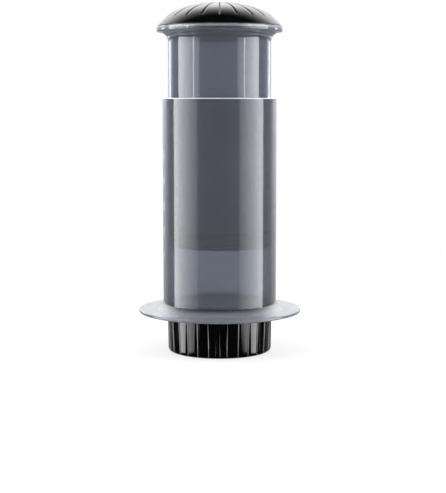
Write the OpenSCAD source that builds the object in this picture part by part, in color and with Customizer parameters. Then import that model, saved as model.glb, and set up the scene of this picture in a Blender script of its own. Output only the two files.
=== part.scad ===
// Manual coffee press with a stand flange. A plunger with a palm cap slides in the
// chamber, and a filter cap twists into the chamber's foot. Lengths are in millimetres
// and angles in degrees. The press stands along +Z with the foot of its filter cap at
// z = 0, and its front faces -Y. The plunger is drawn partly pressed.

/* [Chamber] */
// Outside diameter of the chamber tube
chamber_d = 66; // [58:0.5:76]
// Wall of the chamber tube
chamber_wall = 2.8; // [2.4:0.1:4]
// Height of the chamber tube above the stand flange
chamber_height = 122.4; // [90:0.1:150]
// Rounding of both edges of the chamber's rim
chamber_rim_round = 1; // [0.4:0.1:1.1]

/* [Stand flange] */
// Diameter of the flange that the press stands on
stand_flange_d = 94.6; // [86:0.2:110]
// Thickness of the stand flange
stand_flange_t = 1.8; // [1.4:0.1:4]
// Rounding of the stand flange's edge
stand_flange_round = 0.6; // [0.2:0.1:0.6]
// Reach of the cone between the chamber tube and the stand flange
stand_cone_reach = 4.5; // [2:0.1:8]
// Rise of that cone up the chamber tube
stand_cone_rise = 3.6; // [2:0.1:8]

/* [Bayonet] */
// Step from the chamber's bore out to the filter seat
seat_step = 0.8; // [0.5:0.1:1.2]
// Gap between the filter seat and what turns in it
seat_gap = 0.3; // [0.2:0.05:0.4]
// Thickness of the lip that the lugs lock behind
lip_t = 1.5; // [1:0.1:3]
// Number of lugs on the filter cap
lug_count = 3; // [2:1:4]
// Reach of a lug beyond the spigot
lug_reach = 1.2; // [0.8:0.1:1.6]
// Thickness of a lug
lug_t = 1.4; // [1:0.1:2.5]
// Angle that a lug covers
lug_angle = 24; // [14:1:30]
// Turn from locked to released
twist_angle = 32; // [28:1:44]
// Play round a lug in its track
lug_play = 0.2; // [0.1:0.05:0.4]
// Wall outside the lug tracks
track_wall = 0.6; // [0.4:0.1:2]

/* [Filter cap] */
// Height of the grip from its foot to its top
grip_height = 22.8; // [18:0.1:34]
// Gap between the grip and the stand flange
grip_gap = 0.4; // [0.3:0.1:1.5]
// How far the grip lies inside the spigot
grip_inset = 0.2; // [0.1:0.1:1.5]
// Taper of the grip in radius, from its top to its foot
grip_draft = 0.3; // [0:0.1:0.8]
// Wall of the grip
grip_wall = 3.8; // [3.4:0.1:6]
// Rounding of the grip's lower edge
grip_round = 2.2; // [1:0.1:2.6]
// Height of the plain collar at the top of the grip
collar_height = 1.2; // [0.8:0.1:4]
// Number of upright flutes round the grip
flute_count = 30; // [16:1:40]
// Radius of a flute's round section
flute_r = 1.9; // [1.2:0.1:2.4]
// Depth of a flute at the grip's foot
flute_depth = 0.7; // [0.3:0.1:1]
// Depth of a flute at the grip's top
flute_top_depth = 0.1; // [0.05:0.05:0.3]
// Turn of the flutes to the left of the front
flute_turn = 2; // [0:0.5:6]
// Wall of the spigot that carries the filter
spigot_wall = 2.6; // [1.6:0.1:3.6]
// Depth of the drain space below the filter seat
drain_depth = 3; // [2:0.1:4.5]
// Thickness of the plate under the drain space
plate_t = 2.4; // [1.6:0.1:4]
// Number of ribs that carry the mesh
support_rib_count = 12; // [6:1:18]
// Thickness of a rib that carries the mesh
support_rib_t = 1.4; // [0.8:0.1:2]
// Number of webs under the plate
web_count = 6; // [3:1:10]
// Depth of the webs under the plate
web_depth = 5.5; // [3:0.5:9]
// Thickness of a web and of the ring round the outlet
web_t = 1.6; // [1:0.1:2.5]
// How far the ring round the outlet drops below the webs
outlet_lip = 1; // [0.5:0.1:4]

/* [Filter] */
// Thickness of the filter's soft rim
filter_rim_t = 2.6; // [2:0.1:4]
// Width of the filter's soft rim
filter_rim_w = 3.8; // [3.2:0.1:6]
// Groove round the outside of the soft rim
filter_rim_groove = 0.6; // [0.3:0.1:1]
// Gap between the soft rim and its seat in the chamber
filter_gap = 0.1; // [0.05:0.05:0.4]
// Thickness of the mesh
mesh_t = 0.4; // [0.2:0.05:0.8]
// How deep the mesh sits in the soft rim
mesh_hold = 1.6; // [0.8:0.1:2]
// Width of the pull tab on the soft rim
tab_w = 7; // [4:0.5:14]
// Reach of the pull tab over the mesh
tab_reach = 4; // [2:0.5:8]

/* [Outlet valve] */
// Diameter of the outlet
outlet_d = 10; // [7:0.5:16]
// Reach of the valve's flanges beyond the outlet
valve_flange_reach = 1.8; // [1:0.1:3]
// Thickness of the valve's flanges
valve_flange_t = 1; // [0.6:0.1:1.6]
// Wall of the valve's neck
valve_wall = 1.6; // [1:0.1:2]
// Length of the valve's crossed slits
slit_l = 5; // [2:0.5:5.5]
// Width of the valve's crossed slits
slit_w = 0.4; // [0.2:0.1:0.8]

/* [Plunger] */
// Height of the seal above the filter as drawn
plunger_raise = 32.8; // [1:0.1:70]
// Gap between the plunger tube and the chamber
tube_gap = 0.5; // [0.3:0.05:1.2]
// Wall of the plunger tube
tube_wall = 2.2; // [1.6:0.1:3.5]
// Length of the plunger tube above its seal
tube_length = 116.6; // [100:0.1:150]
// Reach of the top flange beyond the tube
tube_flange_reach = 6.5; // [4.5:0.1:12]
// Thickness of the top flange
tube_flange_t = 3.2; // [2.6:0.1:5]
// Rounding of the top flange's edge
tube_flange_round = 0.8; // [0.4:0.1:1.3]
// Radius of the flare under the top flange
tube_flare_r = 5.5; // [2:0.1:5.7]

/* [Plunger seal] */
// Height of the seal
seal_height = 9.6; // [8:0.1:16]
// Gap between the seal's lips and the chamber
seal_gap = 0.1; // [0.05:0.05:0.2]
// Height of each wiping lip
seal_lip_height = 2.6; // [2:0.1:3.6]
// Rounding of the lips
seal_lip_round = 0.8; // [0.3:0.1:1]
// Depth of the waist between the lips
seal_waist = 0.9; // [0.4:0.1:1.6]
// Thickness of the seal's floor
seal_floor_t = 1.6; // [1:0.1:3]
// Diameter of the neck that the seal snaps over
neck_d = 40; // [30:0.5:44]
// Reach of the neck's head beyond the neck
head_reach = 2.5; // [1:0.1:4]
// Thickness of the neck's head
head_t = 2.4; // [1.6:0.1:4]
// Gap between the seal and the neck
snap_gap = 0.1; // [0.05:0.05:0.3]

/* [Palm cap] */
// How far the dome's edge lies inside the top flange
dome_inset = 0.3; // [0.2:0.1:2]
// Height of the dome above the top flange
dome_height = 13.8; // [10:0.1:19]
// Wall of the dome
dome_wall = 3.2; // [2.8:0.1:5]
// Radius of the curve over the dome's crown
crown_r = 72; // [56:1:110]
// Distance from the axis where the crown turns into the shoulder
crown_reach = 20; // [12:0.5:24]
// Height of the shadow gap under the dome's edge
edge_gap = 0.4; // [0.2:0.1:1]
// Width of the shadow gap under the dome's edge
edge_gap_w = 1.5; // [0.6:0.1:2.4]
// Number of finger grooves
groove_count = 20; // [8:1:24]
// Distance of the grooves' inner ends from the axis
groove_start = 6; // [5:0.5:12]
// Distance of the grooves' outer ends from the dome's edge
groove_end = 4.2; // [3:0.1:10]
// Width of a groove
groove_w = 0.9; // [0.6:0.1:2.2]
// Opening angle of a groove's floor
groove_angle = 76; // [50:1:110]
// Depth of the plug below the top flange
plug_depth = 7.5; // [5:0.5:14]
// Wall of the plug
plug_wall = 3; // [2.6:0.1:4]
// Gap between the plug and the plunger tube
plug_gap = 0.2; // [0.1:0.05:0.5]
// Thickness of the ring in the plug's groove
ring_t = 1.8; // [1.4:0.1:2.2]
// Gap between the ring and what it lies against
ring_gap = 0.05; // [0.02:0.01:0.1]

/* [Hidden] */
$fn = 96;

smoke = [0.42, 0.44, 0.49];
smoke_clear = [0.47, 0.49, 0.54];
black_gloss = [0.06, 0.06, 0.065];
black_silicone = [0.12, 0.12, 0.13];
grey_silicone = [0.3, 0.31, 0.33];
steel = [0.75, 0.76, 0.78];

// How far a cut runs past the face that it opens
over = 1;

// Radii from the chamber inwards
chamber_r = chamber_d / 2;
bore_r = chamber_r - chamber_wall;
seat_r = bore_r + seat_step;
spigot_r = seat_r - seat_gap;
lug_r = spigot_r + lug_reach;
track_r = lug_r + lug_play;
slot_r = track_r + lug_play;
root_r = max(chamber_r, slot_r + track_wall);
stand_flange_r = stand_flange_d / 2;
tube_r = bore_r - tube_gap;
tube_bore_r = tube_r - tube_wall;
seal_r = bore_r - seal_gap;
neck_r = neck_d / 2;
head_r = neck_r + head_reach;
tube_flange_r = tube_r + tube_flange_reach;
grip_r = spigot_r - grip_inset;
grip_foot_r = grip_r - grip_draft;
skirt_r = grip_r - grip_wall;
drain_r = spigot_r - spigot_wall;
rim_inner_r = spigot_r - filter_rim_w;
mesh_slot_r = rim_inner_r + mesh_hold;
outlet_r = outlet_d / 2;
valve_flange_r = outlet_r + valve_flange_reach;
outlet_ring_r = valve_flange_r + seat_gap + web_t;

// Heights from the foot upwards
flange_z = grip_height + grip_gap;
flange_top = flange_z + stand_flange_t;
rim_z = flange_top + chamber_height;
lug_z = flange_z + lip_t + lug_play;
track_z = lug_z - lug_play;
track_top = lug_z + lug_t + lug_play;
filter_z = track_top;
filter_top = filter_z + filter_rim_t;
seat_z = filter_top + filter_gap;
mesh_z = filter_z + (filter_rim_t - mesh_t) / 2;
plate_top = filter_z - drain_depth;
plate_z = plate_top - plate_t;
seal_z = filter_top + plunger_raise;
seal_top = seal_z + seal_height;
head_z = seal_z + seal_floor_t;
tube_top = seal_top + tube_length;
tube_flange_z = tube_top - tube_flange_t;

// Angles of the bayonet
play_angle = atan(lug_play / lug_r);
track_angle = lug_angle + twist_angle + 2 * play_angle;
slot_angle = lug_angle + 4 * play_angle;

// The dome is a crown arc that runs smoothly into a shoulder arc, which ends at its edge
dome_r = tube_flange_r - dome_inset;
crown_angle = asin(crown_reach / crown_r);
crown_drop = crown_r * (1 - cos(crown_angle));
shoulder_run = dome_r - crown_reach;
shoulder_drop = dome_height - crown_drop;
shoulder_lean = shoulder_drop * cos(crown_angle) - shoulder_run * sin(crown_angle);
shoulder_r = (pow(shoulder_run, 2) + pow(shoulder_drop, 2)) / (2 * shoulder_lean);
crown_centre = [0, dome_height - crown_r];
shoulder_centre = crown_centre + (crown_r - shoulder_r) * [sin(crown_angle), cos(crown_angle)];

// The plug and its ring
plug_r = tube_bore_r - plug_gap;
plug_inner_r = plug_r - plug_wall;
ring_r = tube_bore_r - ring_gap - ring_t / 2;
ring_z = -plug_depth / 2;
ring_seat_r = ring_r - ring_t / 2 - ring_gap;
ring_seat_h = ring_t + 2 * ring_gap;

// Height of the dome's outer face above the top flange, at a distance from the axis
function dome_z(r) = r <= crown_reach
    ? crown_centre.y + sqrt(pow(crown_r, 2) - pow(r, 2))
    : shoulder_centre.y + sqrt(pow(shoulder_r, 2) - pow(r - shoulder_centre.x, 2));

// Half section from the axis out to r, between two heights, with rounded outer corners
module rounded_disc(r, z, top, edge) {
    translate([0, z])
        square([r - edge, top - z]);
    translate([0, z + edge])
        square([r, top - z - 2 * edge]);
    for (corner_z = [z + edge, top - edge])
        translate([r - edge, corner_z])
            circle(edge);
}

// Half section of a hollow fillet in the corner below a face at z, against an upright wall at r.
// It reaches back into both by the given depth.
module corner_flare(r, z, radius, depth) {
    difference() {
        translate([r - depth, z - radius])
            square(radius + depth);
        translate([r + radius, z - radius])
            circle(radius);
    }
}

// Half section of a straight slope in the corner above a face at z, against an upright wall at r.
// It reaches back into both by the given depth.
module corner_slope(r, z, reach, rise, depth) {
    polygon([
        [r - depth, z - depth],
        [r + reach, z - depth],
        [r + reach, z],
        [r, z + rise],
        [r - depth, z + rise]
    ]);
}

// Half section of a wall between two radii whose top end has both corners rounded
module rounded_wall(inner, outer, z, top, edge) {
    translate([inner, z])
        square([outer - inner, top - edge - z]);
    translate([inner + edge, z])
        square([outer - inner - 2 * edge, top - z]);
    for (corner_r = [inner + edge, outer - edge])
        translate([corner_r, top - edge])
            circle(edge);
}

// Ring segment between two radii and two heights, centred on an angle
module ring_segment(inner, outer, z, top, middle, sweep) {
    rotate([0, 0, middle - sweep / 2])
        rotate_extrude(angle = sweep)
            translate([inner, z])
                square([outer - inner, top - z]);
}

// Half section of the dome, drawn in from its outer face by a wall
module dome_section(wall) {
    turn_r = (crown_r - wall) * sin(crown_angle);
    intersection() {
        translate(crown_centre)
            circle(crown_r - wall);
        square([turn_r, dome_height]);
    }
    intersection() {
        translate(shoulder_centre)
            circle(shoulder_r - wall);
        translate([turn_r, 0])
            square([dome_r - turn_r, dome_height]);
    }
}

// Straight cut with a V floor along a chord of the dome, so both its ends run out to a point
module finger_groove() {
    end_r = dome_r - groove_end;
    start = [groove_start, dome_z(groove_start)];
    run = [end_r, dome_z(end_r)] - start;
    lift = dome_height / 2;
    half_w = groove_w / 2;
    floor_rise = half_w / tan(groove_angle / 2);
    translate([start.x, 0, start.y])
        rotate([0, -atan2(run.y, run.x), 0])
            translate([-over, 0, 0])
                rotate([90, 0, 90])
                    linear_extrude(norm(run) + 2 * over)
                        polygon([
                            [0, 0],
                            [half_w, floor_rise],
                            [half_w, lift],
                            [-half_w, lift],
                            [-half_w, floor_rise]
                        ]);
}

// Half section of the grip as a solid drum that tapers to a rounded lower edge
module grip_section() {
    edge_r = grip_foot_r - grip_round;
    polygon([
        [0, 0],
        [edge_r, 0],
        [edge_r, grip_round],
        [grip_foot_r, grip_round],
        [grip_r, grip_height],
        [0, grip_height]
    ]);
    intersection() {
        translate([edge_r, grip_round])
            circle(grip_round);
        square([grip_foot_r, grip_height]);
    }
}

// Round flutes up the grip that grow shallower and narrower towards its top
module grip_flutes() {
    foot = [grip_foot_r - flute_depth + flute_r, 0];
    head = [grip_r - flute_top_depth + flute_r, grip_height];
    run = head - foot;
    for (i = [0 : flute_count - 1])
        rotate([0, 0, 360 * i / flute_count - 90 - flute_turn])
            translate([foot.x, 0, foot.y])
                rotate([0, atan2(run.x, run.y), 0])
                    translate([0, 0, -over])
                        cylinder(h = norm(run) + 2 * over, r = flute_r);
}

// Ribs on the plate that carry the mesh and step down under the soft rim
module support_ribs() {
    start_r = valve_flange_r + seat_gap;
    step_r = rim_inner_r - seat_gap;
    for (i = [0 : support_rib_count - 1])
        rotate([0, 0, 360 * (i + 0.5) / support_rib_count])
            translate([0, support_rib_t / 2, 0])
                rotate([90, 0, 0])
                    linear_extrude(support_rib_t)
                        polygon([
                            [start_r, plate_top - plate_t / 2],
                            [drain_r + spigot_wall / 2, plate_top - plate_t / 2],
                            [drain_r + spigot_wall / 2, plate_top + drain_depth / 2],
                            [step_r, plate_top + drain_depth / 2],
                            [step_r, mesh_z],
                            [start_r, mesh_z]
                        ]);
}

// Webs under the plate, from the ring round the outlet to the grip's wall
module plate_webs() {
    start_r = outlet_ring_r - web_t / 2;
    for (i = [0 : web_count - 1])
        rotate([0, 0, 360 * i / web_count])
            translate([start_r, -web_t / 2, plate_z - web_depth])
                cube([skirt_r + grip_wall / 2 - start_r, web_t, web_depth + plate_t / 2]);
}

// Smoke-grey tube with its stand flange and the lug tracks in its foot
module chamber() {
    color(smoke)
        difference() {
            rotate_extrude()
                difference() {
                    union() {
                        rounded_wall(bore_r, chamber_r, flange_z, rim_z, chamber_rim_round);
                        rounded_disc(stand_flange_r, flange_z, flange_top, stand_flange_round);
                        corner_slope(chamber_r, flange_top, stand_cone_reach, stand_cone_rise,
                                     stand_flange_t / 2);
                        translate([0, flange_z])
                            square([root_r, track_top + track_wall - flange_z]);
                    }
                    translate([0, flange_z - over])
                        square([seat_r, seat_z - flange_z + over]);
                    square([bore_r, rim_z]);
                }
            for (i = [0 : lug_count - 1]) {
                turn = 360 * i / lug_count;
                ring_segment(bore_r, track_r, track_z, track_top, turn + twist_angle / 2, track_angle);
                ring_segment(bore_r, slot_r, flange_z - over, lug_z + lug_t / 2,
                             turn + twist_angle, slot_angle);
            }
        }
}

// Clear smoke tube, closed below by the neck for the seal, with a flared flange on top
module plunger_tube() {
    neck_bore_r = neck_r - tube_wall;
    floor_top = head_z + head_t;
    color(smoke_clear)
        rotate_extrude()
            difference() {
                union() {
                    translate([0, seal_top])
                        square([tube_r, tube_length - tube_flange_t / 2]);
                    rounded_disc(tube_flange_r, tube_flange_z, tube_top, tube_flange_round);
                    corner_flare(tube_r, tube_flange_z, tube_flare_r, tube_flange_t / 2);
                    translate([0, head_z])
                        square([neck_r, seal_top - head_z + tube_wall / 2]);
                    translate([0, head_z])
                        square([head_r, head_t]);
                }
                translate([0, floor_top])
                    square([neck_bore_r, tube_top - floor_top]);
                translate([0, seal_top + tube_wall])
                    square([tube_bore_r, tube_length]);
            }
}

// Silicone seal with two wiping lips, snapped over the neck of the plunger tube
module plunger_seal() {
    pocket_top = head_z + head_t + snap_gap;
    color(grey_silicone)
        rotate_extrude()
            difference() {
                union() {
                    translate([0, seal_z])
                        square([seal_r - seal_waist, seal_height]);
                    rounded_disc(seal_r, seal_z, seal_z + seal_lip_height, seal_lip_round);
                    rounded_disc(seal_r, seal_top - seal_lip_height, seal_top, seal_lip_round);
                }
                translate([0, head_z])
                    square([head_r + snap_gap, pocket_top - head_z]);
                translate([0, head_z])
                    square([neck_r + snap_gap, seal_height]);
            }
}

// Black grooved dome that rests on the top flange, with a plug below it
module palm_cap() {
    color(black_gloss)
        translate([0, 0, tube_top])
            difference() {
                rotate_extrude()
                    difference() {
                        union() {
                            difference() {
                                dome_section(0);
                                dome_section(dome_wall);
                            }
                            intersection() {
                                dome_section(0);
                                translate([plug_inner_r, 0])
                                    square([plug_wall, dome_height]);
                            }
                            translate([plug_inner_r, -plug_depth])
                                square([plug_wall, plug_depth + dome_wall]);
                        }
                        translate([dome_r - edge_gap_w, -over])
                            square([edge_gap_w + over, edge_gap + over]);
                        translate([ring_seat_r, ring_z - ring_seat_h / 2])
                            square([plug_wall, ring_seat_h]);
                    }
                for (i = [0 : groove_count - 1])
                    rotate([0, 0, 360 * i / groove_count - 90])
                        finger_groove();
            }
}

// Silicone ring in the plug's groove
module palm_cap_ring() {
    color(black_silicone)
        translate([0, 0, tube_top + ring_z])
            rotate_extrude()
                translate([ring_r, 0])
                    circle(ring_t / 2);
}

// Black fluted drum with its spigot, lugs, drain plate and outlet
module filter_cap() {
    color(black_gloss) {
        difference() {
            union() {
                difference() {
                    union() {
                        difference() {
                            rotate_extrude()
                                grip_section();
                            grip_flutes();
                        }
                        translate([0, 0, grip_height - collar_height])
                            cylinder(h = filter_z - grip_height + collar_height, r = spigot_r);
                    }
                    translate([0, 0, -over])
                        cylinder(h = plate_z + over, r = skirt_r);
                    translate([0, 0, plate_top])
                        cylinder(h = filter_z, r = drain_r);
                }
                plate_webs();
                translate([0, 0, plate_z - web_depth - outlet_lip])
                    cylinder(h = web_depth + outlet_lip + plate_t / 2, r = outlet_ring_r);
            }
            cylinder(h = filter_z, r = outlet_r);
            cylinder(h = plate_z, r = valve_flange_r + seat_gap);
        }
        support_ribs();
        for (i = [0 : lug_count - 1])
            ring_segment(drain_r + spigot_wall / 2, lug_r, lug_z, lug_z + lug_t,
                         360 * i / lug_count, lug_angle);
    }
}

// Soft black rim of the filter, with a groove round it and a small pull tab
module filter_rim() {
    mesh_top = mesh_z + mesh_t;
    color(black_silicone) {
        rotate_extrude()
            difference() {
                translate([rim_inner_r, filter_z])
                    square([filter_rim_w, filter_rim_t]);
                translate([rim_inner_r - over, mesh_z])
                    square([mesh_hold + over, mesh_t]);
                translate([spigot_r, (filter_z + filter_top) / 2])
                    circle(filter_rim_groove);
            }
        translate([0, 0, mesh_top])
            linear_extrude(filter_top - mesh_top)
                polygon([
                    [rim_inner_r - tab_reach, 0],
                    [mesh_slot_r, -tab_w / 2],
                    [mesh_slot_r, tab_w / 2]
                ]);
    }
}

// Fine steel screen held in the soft rim
module filter_mesh() {
    color(steel)
        translate([0, 0, mesh_z])
            cylinder(h = mesh_t, r = mesh_slot_r - snap_gap);
}

// Silicone grommet in the outlet, with crossed slits that open under pressure
module outlet_valve() {
    neck_outer_r = outlet_r - snap_gap;
    valve_z = plate_z - valve_flange_t;
    valve_top = plate_top + valve_flange_t;
    color(grey_silicone)
        difference() {
            rotate_extrude()
                difference() {
                    union() {
                        translate([0, valve_z])
                            square([neck_outer_r, valve_top - valve_z]);
                        for (z = [valve_z, plate_top])
                            translate([0, z])
                                square([valve_flange_r, valve_flange_t]);
                    }
                    translate([0, plate_z])
                        square([neck_outer_r - valve_wall, valve_top]);
                }
            for (turn = [0, 90])
                rotate([0, 0, turn])
                    translate([-slit_l / 2, -slit_w / 2, valve_z - over])
                        cube([slit_l, slit_w, valve_flange_t + 2 * over]);
        }
}

chamber();
plunger_tube();
plunger_seal();
palm_cap();
palm_cap_ring();
filter_cap();
filter_rim();
filter_mesh();
outlet_valve();
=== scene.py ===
import math

import bmesh
import bpy
import numpy as np
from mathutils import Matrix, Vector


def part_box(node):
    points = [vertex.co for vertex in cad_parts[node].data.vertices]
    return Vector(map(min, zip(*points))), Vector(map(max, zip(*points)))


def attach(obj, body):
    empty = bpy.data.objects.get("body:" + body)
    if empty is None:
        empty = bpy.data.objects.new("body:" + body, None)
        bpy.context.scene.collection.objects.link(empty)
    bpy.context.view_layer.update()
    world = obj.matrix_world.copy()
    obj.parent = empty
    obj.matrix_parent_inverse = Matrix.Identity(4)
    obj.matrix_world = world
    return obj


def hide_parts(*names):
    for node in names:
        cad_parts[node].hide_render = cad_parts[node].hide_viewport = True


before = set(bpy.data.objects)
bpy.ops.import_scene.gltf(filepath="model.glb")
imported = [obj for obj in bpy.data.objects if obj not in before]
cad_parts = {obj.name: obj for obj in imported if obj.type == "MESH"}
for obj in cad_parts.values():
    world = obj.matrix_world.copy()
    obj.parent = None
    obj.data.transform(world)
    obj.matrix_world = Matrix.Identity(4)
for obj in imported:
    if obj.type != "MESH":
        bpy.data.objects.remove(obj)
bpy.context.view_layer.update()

# Chamber: the smoke-grey tube in which the plunger slides, moulded in a clear plastic that is polished
# outside and a little milky inside. Three bayonet tracks in its foot take the lugs of the filter cap.
chamber_low, chamber_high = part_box("chamber")
seal_low, seal_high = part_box("plunger_seal")
rim_low, rim_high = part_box("filter_rim")
lug_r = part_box("filter_cap")[1].x
flange_z = chamber_low.z
chamber_rim_z = chamber_high.z
seal_gap = 0.0001
chamber_wall = 0.0028
bore_r = seal_high.x + seal_gap
chamber_r = bore_r + chamber_wall
seat_play = 0.0003
seat_gap = 0.0001
seat_r = rim_high.x + seat_play
seat_z = rim_high.z + seat_gap
seat_round = 0.0002
foot_land = 0.0004
lug_play = 0.0002
lug_lip_t = 0.0015
track_r = lug_r + lug_play
slot_r = track_r + lug_play
track_top = rim_low.z
track_z = flange_z + lug_lip_t
lug_z = track_z + lug_play
lug_top = track_top - lug_play
lug_half_angle = math.radians(12)
lug_turns = np.radians([0, 120, 240])
twist_angle = math.radians(32)
play_angle = lug_play / lug_r
rim_edge = 0.0005
seam = 0.00002
smoke_dark = (0.555, 0.60, 0.71, 1)
smoke_pale = (0.635, 0.68, 0.79, 1)
smoke_ior = 1.5
polished_coat = [("Specular Tint", (0.1, 0.1, 0.1, 1)), ("IOR", smoke_ior),
                 ("Coat Weight", 0.75), ("Coat Roughness", 0.03)]


def rounded_outline(corners, arc_step=math.radians(12), support=0.0002):
    """Outline (r, z) through corners (r, z, round), in the order in which they are met.

    A round corner becomes an arc that touches both its sides: it starts round * tan(turn / 2) before
    the corner, where turn is the angle between the sides, and is swung round its centre in equal
    steps. Each long straight stretch then gets a support point near both its ends, so that it
    shades flat.
    """
    corners = np.array(corners, float)
    runs = []
    for i, radius in enumerate(corners[:, 2]):
        here = corners[i, :2]
        if radius == 0:
            runs.append(here[None])
            continue
        come = here - corners[i - 1, :2]
        go = corners[(i + 1) % len(corners), :2] - here
        come /= np.linalg.norm(come)
        go /= np.linalg.norm(go)
        turn = math.atan2(come[0] * go[1] - come[1] * go[0], come @ go)
        start = here - come * radius * math.tan(abs(turn) / 2)
        spoke = math.copysign(radius, turn) * np.array([come[1], -come[0]])
        swing = np.linspace(0, turn, 1 + max(2, math.ceil(abs(turn) / arc_step)))[:, None]
        square = np.array([-spoke[1], spoke[0]])
        runs.append(start - spoke + np.cos(swing) * spoke + np.sin(swing) * square)
    outline = np.concatenate(runs)
    after = np.roll(outline, -1, axis=0)
    length = np.linalg.norm(after - outline, axis=1)[:, None]
    along = (after - outline) / np.maximum(length, 1e-9)
    rows = np.stack([outline, outline + along * support, after - along * support], axis=1)
    keep = np.repeat(length > 5 * support, 3, axis=1)
    keep[:, 0] = True
    keep[-1, 1:] = False
    return rows[keep]


def turned_grid(radii, heights, angles, closed=False):
    """Turned surface as (vertices, quads): vertex (k, j) is (R cos a, R sin a, Z) with the radius R[k, j],
    height Z[k, j] and angle a[k, j] of outline row k and column j.

    Columns join up round the axis, and rows join up where the outline is closed. An outline that runs
    out below, up outside and in above has its faces outwards.
    """
    radii, heights, angles = np.broadcast_arrays(radii, heights, angles)
    vertices = np.stack([radii * np.cos(angles), radii * np.sin(angles), heights], axis=-1)
    here = np.arange(radii.size).reshape(radii.shape)
    beside = np.roll(here, -1, axis=1)
    quads = np.stack([here, beside, np.roll(beside, -1, axis=0), np.roll(here, -1, axis=0)], axis=-1)
    if not closed:
        quads = quads[:-1]
    return vertices.reshape(-1, 3), quads.reshape(-1, 4)


def even_turn(columns):
    """Angles of evenly spread columns round the axis."""
    return np.linspace(0, 2 * math.pi, columns, endpoint=False)


def stepped_turn(columns, steps, hair=1e-6):
    """Evenly spread columns and a pair of columns at each step angle. Returns their angles, and their sides:
    the same angles with a pair's columns moved a hair to both sides of the step."""
    angles = np.concatenate([even_turn(columns), np.repeat(np.mod(np.ravel(steps), 2 * math.pi), 2)])
    sides = angles.copy()
    sides[columns::2] -= hair
    sides[columns + 1::2] += hair
    order = np.argsort(sides)
    return angles[order], sides[order]


def within(angles, middles, half_angle):
    """Whether each column's angle lies within half_angle of any of the middles."""
    away = angles[None] - np.ravel(middles)[:, None]
    away = np.mod(away + math.pi, 2 * math.pi) - math.pi
    return (np.abs(away) < half_angle).any(axis=0)


def make_piece(name, body, slot, material, *parts, sharp=35):
    """One mesh object from parts of (vertices, quads), with doubled points merged, smooth faces and
    edges sharp past an angle in degrees, which rides on a body and takes the given material. The slot
    argument is not used."""
    counts = np.cumsum([0] + [len(vertices) for vertices, quads in parts])
    vertices = np.concatenate([vertices for vertices, quads in parts])
    quads = np.concatenate([quads + first for (vertices, quads), first in zip(parts, counts)])
    mesh = bpy.data.meshes.new(name)
    mesh.from_pydata(vertices.tolist(), [], quads.tolist())
    merged = bmesh.new()
    merged.from_mesh(mesh)
    bmesh.ops.remove_doubles(merged, verts=merged.verts, dist=1e-7)
    merged.to_mesh(mesh)
    merged.free()
    mesh.shade_smooth()
    mesh.set_sharp_from_angle(angle=math.radians(sharp))
    mesh.materials.append(material)
    piece = bpy.data.objects.new(name, mesh)
    bpy.context.scene.collection.objects.link(piece)
    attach(piece, body)
    return piece


def set_range(node, given, made=(0, 1)):
    """Ends of a Map Range node: given[0] to given[1] becomes made[0] to made[1]."""
    node.inputs["From Min"].default_value, node.inputs["From Max"].default_value = given
    node.inputs["To Min"].default_value, node.inputs["To Max"].default_value = made


def moulded_skin_group():
    """Skin of a moulding: a slow cloud moves tone and gloss, and a fine noise is the mould's slight
    orange peel. Roughness = gloss low + cloud * (gloss high - gloss low), over the cloud's middle part."""
    group = bpy.data.node_groups.new("moulded_skin", "ShaderNodeTree")
    sockets = group.interface
    sockets.new_socket("Vector", in_out="INPUT", socket_type="NodeSocketVector")
    for label in ("Cloud Scale", "Peel Scale", "Gloss Low", "Gloss High"):
        sockets.new_socket(label, in_out="INPUT", socket_type="NodeSocketFloat")
    for label in ("Tone", "Roughness", "Height"):
        sockets.new_socket(label, in_out="OUTPUT", socket_type="NodeSocketFloat")
    nodes, links = group.nodes, group.links
    given = nodes.new("NodeGroupInput")
    result = nodes.new("NodeGroupOutput")
    cloud = nodes.new("ShaderNodeTexNoise")
    peel = nodes.new("ShaderNodeTexNoise")
    gloss = nodes.new("ShaderNodeMapRange")
    cloud.inputs["Detail"].default_value = 3
    peel.inputs["Detail"].default_value = 2
    set_range(gloss, (0.3, 0.7))
    links.new(given.outputs["Vector"], cloud.inputs["Vector"])
    links.new(given.outputs["Cloud Scale"], cloud.inputs["Scale"])
    links.new(given.outputs["Vector"], peel.inputs["Vector"])
    links.new(given.outputs["Peel Scale"], peel.inputs["Scale"])
    links.new(cloud.outputs["Fac"], gloss.inputs["Value"])
    links.new(given.outputs["Gloss Low"], gloss.inputs["To Min"])
    links.new(given.outputs["Gloss High"], gloss.inputs["To Max"])
    links.new(cloud.outputs["Fac"], result.inputs["Tone"])
    links.new(gloss.outputs["Result"], result.inputs["Roughness"])
    links.new(peel.outputs["Fac"], result.inputs["Height"])
    return group


moulded_skin = moulded_skin_group()


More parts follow.
